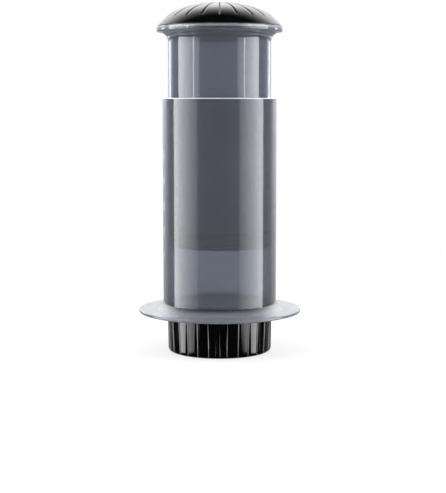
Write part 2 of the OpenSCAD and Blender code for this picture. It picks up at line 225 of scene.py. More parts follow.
def moulded_finish(name, dark, pale, cloud, peel, gloss, bump, plain=()):
    """Material of a moulding: its colour drifts between two tones, and its gloss and bump come from
    the moulded skin. Plain holds (socket, value) pairs that are the same all over."""
    material = bpy.data.materials.new(name)
    material.use_nodes = True
    nodes, links = material.node_tree.nodes, material.node_tree.links
    shader = nodes["Principled BSDF"]
    place = nodes.new("ShaderNodeTexCoord")
    skin = nodes.new("ShaderNodeGroup")
    tone = nodes.new("ShaderNodeMix")
    relief = nodes.new("ShaderNodeBump")
    skin.node_tree = moulded_skin
    skin.inputs["Cloud Scale"].default_value = cloud
    skin.inputs["Peel Scale"].default_value = peel
    skin.inputs["Gloss Low"].default_value, skin.inputs["Gloss High"].default_value = gloss
    tone.data_type = "RGBA"
    tone.inputs["A"].default_value = dark
    tone.inputs["B"].default_value = pale
    relief.inputs["Strength"].default_value = bump
    relief.inputs["Distance"].default_value = 0.0001
    for socket, value in plain:
        shader.inputs[socket].default_value = value
    links.new(place.outputs["Object"], skin.inputs["Vector"])
    links.new(skin.outputs["Tone"], tone.inputs["Factor"])
    links.new(tone.outputs["Result"], shader.inputs["Base Color"])
    links.new(skin.outputs["Roughness"], shader.inputs["Roughness"])
    links.new(skin.outputs["Height"], relief.inputs["Height"])
    links.new(relief.outputs["Normal"], shader.inputs["Normal"])
    return material


def soak(material, colour, density):
    """Light lost inside a clear moulding: absorption = density * (1 - colour) for each metre of path."""
    nodes = material.node_tree.nodes
    loss = nodes.new("ShaderNodeVolumeAbsorption")
    loss.inputs["Color"].default_value = colour
    loss.inputs["Density"].default_value = density
    material.node_tree.links.new(loss.outputs["Volume"], nodes["Material Output"].inputs["Volume"])


smoke_frosted = moulded_finish(
    "smoke_frosted", smoke_dark, smoke_pale, cloud=30, peel=500, gloss=(0.16, 0.2), bump=0.05,
    plain=[("Transmission Weight", 0.93)] + polished_coat)
soak(smoke_frosted, colour=(0.75, 0.745, 0.74, 1), density=900)

slot_half_angle = lug_half_angle + 2 * play_angle
track_half_angle = lug_half_angle + twist_angle / 2 + play_angle
chamber_angles, chamber_sides = stepped_turn(240, lug_turns[:, None] + [
    -lug_half_angle - play_angle,
    lug_half_angle + twist_angle + play_angle,
    twist_angle - slot_half_angle,
    twist_angle + slot_half_angle,
])
in_track = within(chamber_sides, lug_turns + twist_angle / 2, track_half_angle)
in_slot = within(chamber_sides, lug_turns + twist_angle, slot_half_angle)
track_wall = np.where(in_track, track_r, seat_r)
slot_wall = np.where(in_slot, slot_r, track_wall)
lip_wall = np.where(in_slot, slot_r, seat_r)
slot_top = (lug_z + lug_top) / 2
wall_top = chamber_rim_z - rim_edge - seam
chamber_outline = rounded_outline([
    (slot_r + foot_land, flange_z, 0),
    (chamber_r, flange_z, 0),
    (chamber_r, wall_top, 0),
    (bore_r, wall_top, 0),
    (bore_r, seat_z, seat_round),
    (seat_r, seat_z, seat_round),
    (seat_r, track_top, 0),
])
chamber_radii = np.concatenate([
    np.repeat(chamber_outline[:, :1], len(chamber_angles), axis=1),
    [track_wall, track_wall, slot_wall, slot_wall, lip_wall, lip_wall],
])
chamber_heights = np.concatenate([
    chamber_outline[:, 1],
    [track_top, slot_top, slot_top, track_z, track_z, flange_z],
])[:, None]
chamber = make_piece("chamber_tube", "chamber", "smoke_frosted", smoke_frosted,
                     turned_grid(chamber_radii, chamber_heights, chamber_angles, closed=True))
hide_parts("chamber")

# Chamber rim: the upper end of the tube's wall, of the same plastic. It has a finish of its own, whose pale
# colour is a painted glow: it stands in for the light that runs up inside the wall and shows as a pale line.
rim_round = 0.0004
rim_painted_glow = moulded_finish("rim_painted_glow", (0.48, 0.49, 0.54, 1), (0.58, 0.59, 0.64, 1),
                          cloud=60, peel=600, gloss=(0.2, 0.3), bump=0.05)
rim_outline = rounded_outline([
    (bore_r, chamber_rim_z - rim_edge, 0),
    (chamber_r, chamber_rim_z - rim_edge, 0),
    (chamber_r, chamber_rim_z, rim_round),
    (bore_r, chamber_rim_z, rim_round),
])
make_piece("chamber_rim", "chamber", "smoke_frosted", rim_painted_glow,
           turned_grid(rim_outline[:, :1], rim_outline[:, 1:], even_turn(240), closed=True))

# Stand flange: the wide flange at the chamber's foot, with a short cone up to the tube. It is moulded on
# in a milkier plastic with a hairline seam between the two, and the top of its cone is painted darker towards
# the tube: painted shade in the crease where the cone meets the tube.
stand_flange_r = chamber_high.x
flange_t = 0.0018
flange_top = flange_z + flange_t
flange_round = 0.0006
cone_reach = 0.0045
cone_rise = 0.0036
cone_round = 0.0004
seam_r = chamber_r + seam
# Painted shade on the cone's top, fading out downwards from the tube.
seam_painted_shade = (0.10, 0.11, 0.13, 1)
seam_shade_drop = 0.0024
seam_shade_fade = 0.0022


def painted_light_edge_group():
    """Painted light or shade along an edge: the colour turns to Edge Color where Z rises from the height
    Start to Start + Rise."""
    group = bpy.data.node_groups.new("painted_light_edge", "ShaderNodeTree")
    sockets = group.interface
    sockets.new_socket("Vector", in_out="INPUT", socket_type="NodeSocketVector")
    for label in ("Color", "Edge Color"):
        sockets.new_socket(label, in_out="INPUT", socket_type="NodeSocketColor")
    for label in ("Start", "Rise"):
        sockets.new_socket(label, in_out="INPUT", socket_type="NodeSocketFloat")
    sockets.new_socket("Color", in_out="OUTPUT", socket_type="NodeSocketColor")
    nodes, links = group.nodes, group.links
    given = nodes.new("NodeGroupInput")
    result = nodes.new("NodeGroupOutput")
    split = nodes.new("ShaderNodeSeparateXYZ")
    above = nodes.new("ShaderNodeMath")
    share = nodes.new("ShaderNodeMath")
    blend = nodes.new("ShaderNodeMix")
    above.operation = "SUBTRACT"
    share.operation = "DIVIDE"
    share.use_clamp = True
    blend.data_type = "RGBA"
    links.new(given.outputs["Vector"], split.inputs["Vector"])
    links.new(split.outputs["Z"], above.inputs[0])
    links.new(given.outputs["Start"], above.inputs[1])
    links.new(above.outputs["Value"], share.inputs[0])
    links.new(given.outputs["Rise"], share.inputs[1])
    links.new(share.outputs["Value"], blend.inputs["Factor"])
    links.new(given.outputs["Color"], blend.inputs["A"])
    links.new(given.outputs["Edge Color"], blend.inputs["B"])
    links.new(blend.outputs["Result"], result.inputs["Color"])
    return group


painted_light_edge = painted_light_edge_group()


def paint_light_edge(material, colour, start, rise):
    """Gives a moulding's material a painted light or shade: an edge of another colour above a height."""
    nodes, links = material.node_tree.nodes, material.node_tree.links
    edge = nodes.new("ShaderNodeGroup")
    edge.node_tree = painted_light_edge
    edge.inputs["Edge Color"].default_value = colour
    edge.inputs["Start"].default_value = start
    edge.inputs["Rise"].default_value = rise
    links.new(nodes["Texture Coordinate"].outputs["Object"], edge.inputs["Vector"])
    links.new(nodes["Mix"].outputs["Result"], edge.inputs["Color"])
    links.new(edge.outputs["Color"], nodes["Principled BSDF"].inputs["Base Color"])


smoke_milky = moulded_finish(
    "smoke_milky", (0.56, 0.61, 0.71, 1), (0.64, 0.69, 0.79, 1), cloud=30, peel=500, gloss=(0.26, 0.34),
    bump=0.05, plain=[("Transmission Weight", 0.82)] + polished_coat)
soak(smoke_milky, colour=(0.69, 0.695, 0.70, 1), density=400)
# The cone's top turns to the painted shade towards the tube.
paint_light_edge(smoke_milky, seam_painted_shade, flange_top + cone_rise - seam_shade_drop, seam_shade_fade)
flange_outline = rounded_outline([
    (seam_r, flange_z, 0),
    (stand_flange_r, flange_z, flange_round),
    (stand_flange_r, flange_top, flange_round),
    (chamber_r + cone_reach, flange_top, cone_round),
    (seam_r, flange_top + cone_rise, 0),
])
make_piece("stand_flange", "chamber", "smoke_frosted", smoke_milky,
           turned_grid(flange_outline[:, :1], flange_outline[:, 1:], even_turn(240), closed=True))

# Scale: five pale marks up the chamber's left side, each a short bar and a plain numeral, moulded
# slightly proud of the wall in its plastic and printed over.
mark_count = 5
mark_step = 0.0145
first_mark_z = 0.0565
mark_z = first_mark_z + mark_step * np.arange(mark_count)
bar_angles = np.radians([174, 186])
bar_points = 12
numeral_angle = math.radians(192)
numeral_size = np.array([0.0021, 0.0036])
mark_width = 0.0006
mark_proud = 0.00012


def stroke_arc(middle, reach, start, end):
    """Arc of a numeral: middle + reach * (cos, sin) over the given degrees."""
    turn = np.radians(np.linspace(start, end, 13))[:, None]
    return np.array(middle) + np.array(reach) * np.concatenate([np.cos(turn), np.sin(turn)], axis=1)


numerals = [
    [[(0.1, 0.78), (0.5, 1)], [(0.5, 1), (0.5, 0)]],
    [np.concatenate([stroke_arc((0.5, 0.7), (0.5, 0.3), 165, -25), [(0, 0)]]), [(0, 0), (1, 0)]],
    [stroke_arc((0.47, 0.76), (0.43, 0.24), 155, -90), stroke_arc((0.47, 0.26), (0.5, 0.26), 90, -155)],
    [[(0.75, 0), (0.75, 1)], [(0.75, 1), (0, 0.3)], [(0, 0.3), (1, 0.3)]],
    [[(0.9, 1), (0.15, 1)], [(0.15, 1), (0.08, 0.54)], stroke_arc((0.45, 0.32), (0.5, 0.32), 140, -150)],
]


def raised_stroke(path):
    """Raised line along a path (arc length round the wall, height), as (vertices, quads).

    A round profile, mark_width wide and mark_proud high above the wall, is carried along the path and
    drawn in to a point at both ends, then wrapped: angle = arc length / chamber radius.
    """
    path = np.array(path, float)
    ahead = np.gradient(path, axis=0)
    ahead /= np.linalg.norm(ahead, axis=1)[:, None]
    overrun = ahead[[0, -1]] * mark_width / 2
    path = np.concatenate([path[:1] - overrun[:1], path, path[-1:] + overrun[1:]])
    ahead = np.concatenate([ahead[:1], ahead, ahead[-1:]])
    swell = np.ones(len(path))
    swell[[0, -1]] = 0
    swing = even_turn(10)
    across = np.stack([-ahead[:, 1], ahead[:, 0]], axis=1)
    side = swell[:, None] * np.cos(swing) * mark_width / 2
    lift = swell[:, None] * np.sin(swing) * mark_proud
    flat = path[:, None] + side[..., None] * across[:, None]
    radius = chamber_r + lift
    turn = flat[..., 0] / chamber_r
    vertices = np.stack([radius * np.cos(turn), radius * np.sin(turn), flat[..., 1]], axis=-1)
    here = np.arange(turn.size).reshape(turn.shape)
    beside = np.roll(here, -1, axis=1)
    quads = np.stack([here[:-1], here[1:], beside[1:], beside[:-1]], axis=-1)
    return vertices.reshape(-1, 3), quads.reshape(-1, 4)


scale_print = moulded_finish("scale_print", (0.50, 0.52, 0.56, 1), (0.62, 0.64, 0.68, 1),
                             cloud=400, peel=3000, gloss=(0.35, 0.5), bump=0.2)
scale_strokes = []
for z, numeral in zip(mark_z, numerals):
    bar = np.stack([np.linspace(*bar_angles, bar_points) * chamber_r, np.full(bar_points, z)], axis=1)
    scale_strokes.append(raised_stroke(bar))
    corner = np.array([numeral_angle * chamber_r, z - numeral_size[1] / 2])
    scale_strokes += [raised_stroke(corner + numeral_size * np.array(stroke)) for stroke in numeral]
make_piece("chamber_scale", "chamber", "smoke_frosted", scale_print, *scale_strokes)

# Plunger tube: the tube that is pressed down by hand, moulded in clear smoke plastic with a flared flange
# on top and a short neck below its floor, over which the seal snaps.
tube_low, tube_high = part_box("plunger_tube")
tube_gap = 0.0005
tube_wall = 0.0022
tube_r = bore_r - tube_gap
tube_bore_r = tube_r - tube_wall
shoulder_z = seal_high.z
shoulder_round = 0.0006
floor_top = shoulder_z + tube_wall
floor_round = 0.0012
neck_r = 0.02
neck_round = 0.0002
neck_bore_r = neck_r - tube_wall
neck_mouth_round = 0.0006
head_reach = 0.0025
head_t = 0.0024
head_r = neck_r + head_reach
head_top = tube_low.z + head_t
head_round = 0.0004
tube_flange_r = tube_high.x
tube_flange_t = 0.0032
tube_flange_z = tube_high.z - tube_flange_t
tube_flange_round = 0.0008
tube_flare_r = 0.0055
tube_mouth_round = 0.0005
# Painted glow: the plunger flange's top edge turns pale, standing in for light led up the clear wall.
lit_edge = (0.85, 0.86, 0.88, 1)
lit_depth = 0.0016
lit_fade = 0.0003
smoke_clear = moulded_finish(
    "smoke_clear", (0.26, 0.28, 0.34, 1), (0.285, 0.305, 0.365, 1), cloud=25, peel=300, gloss=(0.02, 0.05),
    bump=0.03, plain=[("Transmission Weight", 0.84), ("IOR", smoke_ior)])
soak(smoke_clear, colour=(0.42, 0.46, 0.55, 1), density=60)
paint_light_edge(smoke_clear, lit_edge, tube_high.z - lit_depth, lit_fade)
tube_outline = rounded_outline([
    (0, tube_low.z, 0),
    (head_r, tube_low.z, head_round),
    (head_r, head_top, head_round),
    (neck_r, head_top, neck_round),
    (neck_r, shoulder_z, neck_round),
    (tube_r, shoulder_z, shoulder_round),
    (tube_r, tube_flange_z, tube_flare_r),
    (tube_flange_r, tube_flange_z, tube_flange_round),
    (tube_flange_r, tube_high.z, tube_flange_round),
    (tube_bore_r, tube_high.z, tube_mouth_round),
    (tube_bore_r, floor_top, floor_round),
    (neck_bore_r, floor_top, neck_mouth_round),
    (neck_bore_r, head_top, floor_round),
    (0, head_top, 0),
], arc_step=math.radians(8))
tube = make_piece("plunger_barrel", "plunger", "smoke_clear", smoke_clear,
                  turned_grid(tube_outline[:, :1], tube_outline[:, 1:], even_turn(240)))
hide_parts("plunger_tube")

# Plunger seal: a cup of dark grey silicone with two lips that wipe the chamber's wall. It is moulded in
# one piece and snapped over the neck of the plunger tube.
seal_r = seal_high.x
seal_lip = 0.0026
seal_lip_round = 0.0008
seal_waist_depth = 0.0009
seal_waist_r = seal_r - seal_waist_depth
seal_waist_round = 0.0001
seal_mouth_round = 0.0003
snap_gap = 0.0001
snap_round = 0.0002
seal_floor = tube_low.z
grey_silicone = moulded_finish(
    "grey_silicone", (0.022, 0.023, 0.025, 1), (0.034, 0.035, 0.038, 1), cloud=120, peel=2500,
    gloss=(0.42, 0.58), bump=0.25, plain=[("Specular IOR Level", 0.2)])
seal_outline = rounded_outline([
    (0, seal_low.z, 0),
    (seal_r, seal_low.z, seal_lip_round),
    (seal_r, seal_low.z + seal_lip, seal_lip_round),
    (seal_waist_r, seal_low.z + seal_lip, seal_waist_round),
    (seal_waist_r, seal_high.z - seal_lip, seal_waist_round),
    (seal_r, seal_high.z - seal_lip, seal_lip_round),
    (seal_r, seal_high.z, seal_lip_round),
    (neck_r + snap_gap, seal_high.z, seal_mouth_round),
    (neck_r + snap_gap, head_top + snap_gap, snap_round),
    (head_r + snap_gap, head_top + snap_gap, snap_round),
    (head_r + snap_gap, seal_floor, snap_round),
    (0, seal_floor, 0),
])
seal = make_piece("plunger_seal_cup", "plunger", "grey_silicone", grey_silicone,
                  turned_grid(seal_outline[:, :1], seal_outline[:, 1:], even_turn(192)))
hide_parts("plunger_seal")

# Palm cap: the dome that the palm presses on, moulded in glossy black plastic with twenty finger grooves
# along chords of its curve. A plug below it goes into the plunger tube.
cap_low, cap_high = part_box("palm_cap")
ring_low, ring_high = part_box("palm_cap_ring")
dome_z = tube_high.z
dome_inset = 0.0003
dome_r = tube_flange_r - dome_inset
dome_height = cap_high.z - dome_z
dome_wall = 0.0032
crown_r = 0.072
crown_reach = 0.02
edge_gap = 0.0004
edge_gap_depth = 0.0015
edge_gap_r = dome_r - edge_gap_depth
fine_round = 0.0001
plug_gap = 0.0002
plug_r = tube_bore_r - plug_gap
plug_round = 0.0006
plug_wall = 0.003
plug_inner_r = plug_r - plug_wall
plug_inner_round = 0.0005
plug_foot = cap_low.z - dome_z
hollow_round = 0.0004
ring_seat_depth = 0.0019
ring_seat_r = tube_bore_r - ring_seat_depth
ring_seat_half = 0.00095
ring_seat = (ring_low.z + ring_high.z) / 2 - dome_z
groove_count = 20
groove_start = 0.006
groove_inset = 0.0042
groove_end = dome_r - groove_inset
groove_half_w = 0.00045
groove_half_angle = math.radians(38)
groove_lip = 0.00006
black_dark = (0.0012, 0.0012, 0.0014, 1)
black_pale = (0.0024, 0.0024, 0.0027, 1)

crown_angle = math.asin(crown_reach / crown_r)
shoulder_run = dome_r - crown_reach
shoulder_drop = dome_height - crown_r * (1 - math.cos(crown_angle))
shoulder_lean = shoulder_drop * math.cos(crown_angle) - shoulder_run * math.sin(crown_angle)
shoulder_r = (shoulder_run ** 2 + shoulder_drop ** 2) / (2 * shoulder_lean)
crown_centre = dome_height - crown_r
shoulder_x = (crown_r - shoulder_r) * math.sin(crown_angle)
shoulder_z0 = crown_centre + (crown_r - shoulder_r) * math.cos(crown_angle)


def dome_curve(r, wall=0.0):
    """Height of the dome over its edge at distance r from the axis: a crown arc that runs smoothly into a
    shoulder arc, both drawn in by a wall."""
    crown = crown_centre + np.sqrt((crown_r - wall) ** 2 - np.minimum(r, crown_reach) ** 2)
    side = np.sqrt(np.maximum((shoulder_r - wall) ** 2 - (r - shoulder_x) ** 2, 0))
    return np.where(r <= (crown_r - wall) * math.sin(crown_angle), crown, shoulder_z0 + side)


def dome_reach(height, wall=0.0):
    """Distance from the axis at which the shoulder arc, drawn in by a wall, is at a height."""
    return shoulder_x + math.sqrt((shoulder_r - wall) ** 2 - (height - shoulder_z0) ** 2)


def grooved_dome(rows, thinnest=0.00002, lip_share=1.2, panel_columns=8):
    """Dome with its finger grooves, as heights and angles of each (row, column), for rows at r from the axis.

    A groove is a slot along a chord of the dome. On its V floor the height is the chord's height at the
    distance along the groove plus |offset across it| / tan(half angle), over the cosine of the chord's
    slope. Columns lie at shares of the slot's local half width, at the angle with sin = offset / r. They
    are doubled at the slot's walls, for their top and their foot, and are even over the panel between.
    """
    r = rows[:, None]
    pitch = 2 * math.pi / groove_count
    widest = 0.35 * pitch
    start_z, end_z = dome_curve(np.array([groove_start, groove_end]))
    slope = (start_z - end_z) / (groove_end - groove_start)
    steep = math.sqrt(1 + slope ** 2) / math.tan(groove_half_angle)
    dome = dome_curve(r)
    depth = dome - start_z + (r - groove_start) * slope
    half_w = np.clip(depth / steep, thinnest, groove_half_w)
    edge = np.minimum(np.arcsin(np.minimum(half_w / np.maximum(r, half_w), 1)), widest)
    floor_turn = edge * np.array([-1, -0.67, -0.33, 0, 0.33, 0.67, 1])
    across, along = r * np.sin(floor_turn), r * np.cos(floor_turn)
    floor = start_z - (along - groove_start) * slope + np.abs(across) * steep
    lip_turn = edge * np.array([1, lip_share])
    lip = dome - np.clip(depth / 2, 0, groove_lip) * np.array([1, 0])
    panel_share = np.linspace(0, 1, panel_columns + 2)[1:-1]
    panel_turn = lip_share * edge + (pitch - 2 * lip_share * edge) * panel_share
    one = np.concatenate([lip[:, ::-1], np.minimum(floor, dome), lip, dome + 0 * panel_turn], axis=1)
    turn = np.concatenate([-lip_turn[:, ::-1], floor_turn, lip_turn, panel_turn], axis=1)
    middles = pitch * np.arange(groove_count) - math.pi / 2
    return np.tile(one, groove_count), np.concatenate(middles[:, None, None] + turn, axis=1)


black_gloss = moulded_finish("black_gloss", black_dark, black_pale,
                             cloud=60, peel=900, gloss=(0.07, 0.13), bump=0.04)
dome_edge_r = dome_reach(edge_gap)
inner_edge_r = dome_reach(0, dome_wall)
plug_rows = rounded_outline([
    (plug_inner_r, float(dome_curve(np.array(plug_inner_r), dome_wall)), hollow_round),
    (plug_inner_r, plug_foot, plug_inner_round),
    (plug_r, plug_foot, plug_round),
    (plug_r, ring_seat - ring_seat_half, fine_round),
    (ring_seat_r, ring_seat - ring_seat_half, fine_round),
    (ring_seat_r, ring_seat + ring_seat_half, fine_round),
    (plug_r, ring_seat + ring_seat_half, fine_round),
    (plug_r, float(dome_curve(np.array(plug_r), dome_wall)), 0),
])
row_gap = 0.0002
inner_crown_r = np.linspace(0, plug_inner_r - 3 * row_gap, 24)
inner_shoulder_r = np.linspace(plug_r + row_gap, inner_edge_r, 10)
edge_rows = rounded_outline([
    (inner_edge_r + row_gap, 0, 0),
    (edge_gap_r, 0, fine_round),
    (edge_gap_r, edge_gap, fine_round),
    (dome_edge_r - row_gap, edge_gap, 0),
])
run_out = 0.004
run_out_gap = 0.0005
dome_rows = np.concatenate([
    np.linspace(dome_edge_r, groove_end + 2 * row_gap, 14),
    np.linspace(groove_end, groove_end - run_out, 24),
    np.linspace(groove_end - run_out - run_out_gap, groove_start + run_out + run_out_gap, 44),
    np.linspace(groove_start + run_out, groove_start, 24),
    np.linspace(groove_start - 2 * run_out_gap, 0, 7),
])
cap_rows_r = np.concatenate([inner_crown_r, plug_rows[:, 0], inner_shoulder_r, edge_rows[:, 0], dome_rows])
under_heights = np.concatenate([dome_curve(inner_crown_r, dome_wall), plug_rows[:, 1],
                                dome_curve(inner_shoulder_r, dome_wall), edge_rows[:, 1]])
dome_heights, dome_angles = grooved_dome(dome_rows)
cap_heights = dome_z + np.concatenate([
    np.repeat(under_heights[:, None], dome_heights.shape[1], axis=1),
    dome_heights,
])
cap_angles = np.concatenate([np.repeat(dome_angles[:1], len(under_heights), axis=0), dome_angles])
palm_cap = make_piece("palm_cap_dome", "palm_cap", "black_gloss", black_gloss,
                      turned_grid(cap_rows_r[:, None], cap_heights, cap_angles), sharp=40)
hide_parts("palm_cap")

# Palm cap ring: a ring of black silicone, moulded round in section and stretched into the plug's groove.
# It grips the plunger tube's bore and holds the palm cap there.
black_silicone = moulded_finish("black_silicone", (0.012, 0.012, 0.013, 1), (0.02, 0.02, 0.021, 1),
                                cloud=150, peel=3000, gloss=(0.45, 0.62), bump=0.3)


def refinish(node, material):
    """Gives a piece that keeps its CAD shape a finish of its own."""
    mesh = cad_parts[node].data
    mesh.materials.clear()
    mesh.materials.append(material)


refinish("palm_cap_ring", black_silicone)

# Filter cap: a drum of glossy black plastic with thirty upright flutes to grip. Its spigot carries three
# lugs that lock in the chamber's foot, and its drain plate leads down to an outlet in the middle.
valve_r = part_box("outlet_valve")[1].x
mesh_low, mesh_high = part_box("filter_mesh")
spigot_r = rim_high.x
spigot_wall = 0.0026
drain_r = spigot_r - spigot_wall
drain_depth = 0.003
drain_round = 0.0002
grip_inset = 0.0002
grip_r = spigot_r - grip_inset
grip_draft = 0.0003
grip_foot_r = grip_r - grip_draft
grip_gap = 0.0004
grip_height = flange_z - grip_gap
grip_round = 0.0022
grip_wall = 0.0038
skirt_r = grip_r - grip_wall
skirt_round = 0.0003
collar_t = 0.0012
collar_z = grip_height - collar_t
collar_round = 0.00015
plate_t = 0.0024
plate_top = rim_low.z - drain_depth
plate_z = plate_top - plate_t
plate_round = 0.0006
outlet_r = 0.005
outlet_ring_gap = 0.0003
outlet_ring_r = valve_r + outlet_ring_gap
outlet_ring_height = 0.0065
outlet_ring_z = plate_z - outlet_ring_height
outlet_ring_round = 0.0003
web_t = 0.0016
web_height = 0.0055
web_z = plate_z - web_height
support_t = 0.0014
support_step = 0.0018
support_step_r = mesh_high.x - support_step
support_height = 0.0015
support_ledge = plate_top + support_height
weld = 0.001
weld_z = 0.0006
flute_count = 30
flute_r = 0.0019
flute_depth = 0.0007
flute_top_depth = 0.0001
flute_turn = math.radians(2)


def fluted_drum(radii, heights, thinnest=0.0001, flute_columns=15, panel_columns=4):
    """Drum with flutes, as radii and angles for the outline (radii, heights).

    A flute is cut by a leaning round rod whose middle lies c from the axis, where c runs straight from
    the foot to the top. The rod meets a drum of radius R at the angle with cos = (c^2 + R^2 - rod^2) /
    2cR, so columns are spread evenly up to that angle and then over the panel. Inside it, the surface
    lies at c cos a - sqrt(rod^2 - (c sin a)^2).
    """
    foot_c = grip_foot_r - flute_depth + flute_r
    top_c = grip_r - flute_top_depth + flute_r
    c = (foot_c + (top_c - foot_c) * heights / grip_height)[:, None]
    radii = np.array(radii)[:, None]
    edge = np.arccos(np.clip((c ** 2 + radii ** 2 - flute_r ** 2) / (2 * c * radii), -1, 1))
    edge = np.maximum(edge, thinnest / radii)
    pitch = 2 * math.pi / flute_count
    inside = edge * np.linspace(-1, 1, flute_columns)
    panel = edge + (pitch - 2 * edge) * np.linspace(0, 1, panel_columns + 2)[1:-1]
    cut = c * np.cos(inside) - np.sqrt(np.maximum(flute_r ** 2 - (c * np.sin(inside)) ** 2, 0))
    one = np.concatenate([np.minimum(cut, radii), 0 * panel + radii], axis=1)
    middles = pitch * np.arange(flute_count) - math.pi / 2 - flute_turn
    angles = middles[:, None, None] + np.concatenate([inside, panel], axis=1)
    return np.tile(one, flute_count), np.concatenate(angles, axis=1)


def radial_fins(turns, thickness, near_r, far_r, low_z, high_z):
    """Upright fins that stand out from the axis at each turn: a box outline (across, up) carried from a
    near to a far radius, with both ends closed. Returns (vertices, quads)."""
    across = np.array([-1, 1, 1, -1]) * thickness / 2
    up = np.array([low_z, low_z, high_z, high_z])
    out = np.array([near_r, far_r])[:, None]
    cos, sin = np.cos(turns)[:, None, None], np.sin(turns)[:, None, None]
    vertices = np.stack(np.broadcast_arrays(out * cos - across * sin, out * sin + across * cos, up), axis=-1)
    box = np.array([[0, 1, 2, 3], [7, 6, 5, 4], [0, 4, 5, 1], [1, 5, 6, 2], [2, 6, 7, 3], [3, 7, 4, 0]])
    quads = box[None] + 8 * np.arange(len(turns))[:, None, None]
    return vertices.reshape(-1, 3), quads.reshape(-1, 4)


skirt_rows = rounded_outline([
    (grip_r - weld, collar_z + weld_z, 0),
    (skirt_r, collar_z + weld_z, 0),
    (skirt_r, 0, skirt_round),
    (grip_foot_r - grip_round - row_gap / 2, 0, 0),
])
foot_turn = np.linspace(-math.pi / 2, 0, 15)
grip_rows = np.concatenate([
    np.stack([grip_foot_r + grip_round * (np.cos(foot_turn) - 1),
              grip_round * (1 + np.sin(foot_turn))], axis=1),
    np.linspace((grip_foot_r, grip_round), (grip_r, collar_z + weld_z), 14)[1:],
])
drum_rows = np.concatenate([skirt_rows, grip_rows])
drum_radii, drum_angles = fluted_drum(drum_rows[:, 0], drum_rows[:, 1])
plate_rows = rounded_outline([
    (outlet_r, plate_z, drain_round),
    (outlet_ring_r, plate_z, drain_round),
    (outlet_ring_r, outlet_ring_z, outlet_ring_round),
    (outlet_ring_r + web_t, outlet_ring_z, outlet_ring_round),
    (outlet_ring_r + web_t, plate_z, plate_round),
    (skirt_r + weld, plate_z, 0),
    (skirt_r + weld, collar_z, 0),
    (spigot_r, collar_z, collar_round),
    (spigot_r, lug_z, 0),
])
top_rows = rounded_outline([
    (spigot_r, lug_top, 0),
    (spigot_r, rim_low.z, fine_round),
    (drain_r, rim_low.z, drain_round),
    (drain_r, plate_top, plate_round),
    (outlet_r, plate_top, drain_round),
])
spigot_angles, spigot_sides = stepped_turn(180, lug_turns[:, None] + [-lug_half_angle, lug_half_angle])
lug_wall = np.where(within(spigot_sides, lug_turns, lug_half_angle), lug_r, spigot_r)
spigot_radii = np.concatenate([
    np.repeat(plate_rows[:, :1], len(spigot_angles), axis=1),
    [lug_wall, lug_wall],
    np.repeat(top_rows[:, :1], len(spigot_angles), axis=1),
])
spigot_heights = np.concatenate([plate_rows[:, 1], [lug_z, lug_top], top_rows[:, 1]])
web_turns = even_turn(6)
support_turns = even_turn(12) + math.pi / 12
support_foot = plate_top - weld_z
filter_cap = make_piece(
    "filter_cap_drum", "filter_cap", "black_gloss", black_gloss,
    turned_grid(drum_radii, drum_rows[:, 1:], drum_angles, closed=True),
    turned_grid(spigot_radii, spigot_heights[:, None], spigot_angles, closed=True),
    radial_fins(web_turns, web_t, outlet_ring_r + web_t / 2, skirt_r + weld, web_z, plate_z + weld_z),
    radial_fins(support_turns, support_t, outlet_ring_r, support_step_r, support_foot, mesh_low.z),
    radial_fins(support_turns, support_t, support_step_r, drain_r + weld, support_foot, support_ledge),
    sharp=14,
)
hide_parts("filter_cap")

# Filter: a fine woven steel screen with a rim of soft black silicone moulded round its edge. It is
# clamped between the filter cap and the chamber.
wire_pitch = 0.0004
wire_gap = (0.05, 0.05, 0.052, 1)


def woven_steel():
    """Finish of the screen: bright bands of wire across X and Y, sin^2 waves one pitch apart, over dark
    gaps."""
    material = moulded_finish("steel_mesh", (0.45, 0.455, 0.46, 1), (0.62, 0.625, 0.63, 1),
                              cloud=90, peel=4000, gloss=(0.25, 0.4), bump=0.3, plain=[("Metallic", 1)])
    nodes, links = material.node_tree.nodes, material.node_tree.links
    wires = []
    for axis in ("X", "Y"):
        band = nodes.new("ShaderNodeTexWave")
        band.bands_direction = axis
        band.inputs["Scale"].default_value = math.pi / 10 / wire_pitch
        links.new(nodes["Texture Coordinate"].outputs["Object"], band.inputs["Vector"])
        wires.append(band.outputs["Fac"])
    weave = nodes.new("ShaderNodeMath")
    shade = nodes.new("ShaderNodeMix")
    weave.operation = "MAXIMUM"
    shade.data_type = "RGBA"
    shade.inputs["A"].default_value = wire_gap
    links.new(wires[0], weave.inputs[0])
    links.new(wires[1], weave.inputs[1])
    links.new(weave.outputs["Value"], nodes["Bump"].inputs["Height"])
    links.new(weave.outputs["Value"], shade.inputs["Factor"])
    links.new(nodes["Mix"].outputs["Result"], shade.inputs["B"])
    links.new(shade.outputs["Result"], nodes["Principled BSDF"].inputs["Base Color"])
    return material


refinish("filter_mesh", woven_steel())
refinish("filter_rim", black_silicone)

# Outlet valve: a small grommet of grey silicone with crossed slits that open under pressure. It is
# moulded in one piece and snapped into the drain plate.
refinish("outlet_valve", grey_silicone)

# Studio: a plain pale floor under a white surround, with a tall softbox at each side of the press. The
# surround is white to the eye and through the smoke tubes; in reflections it is white behind the
# press, brighter high up there, and dark before it and straight above.
floor_half = 4.0
floor_tones = (0.88, 0.92)
white_share = 0.55
white_near = 0.08
white_far = 0.6


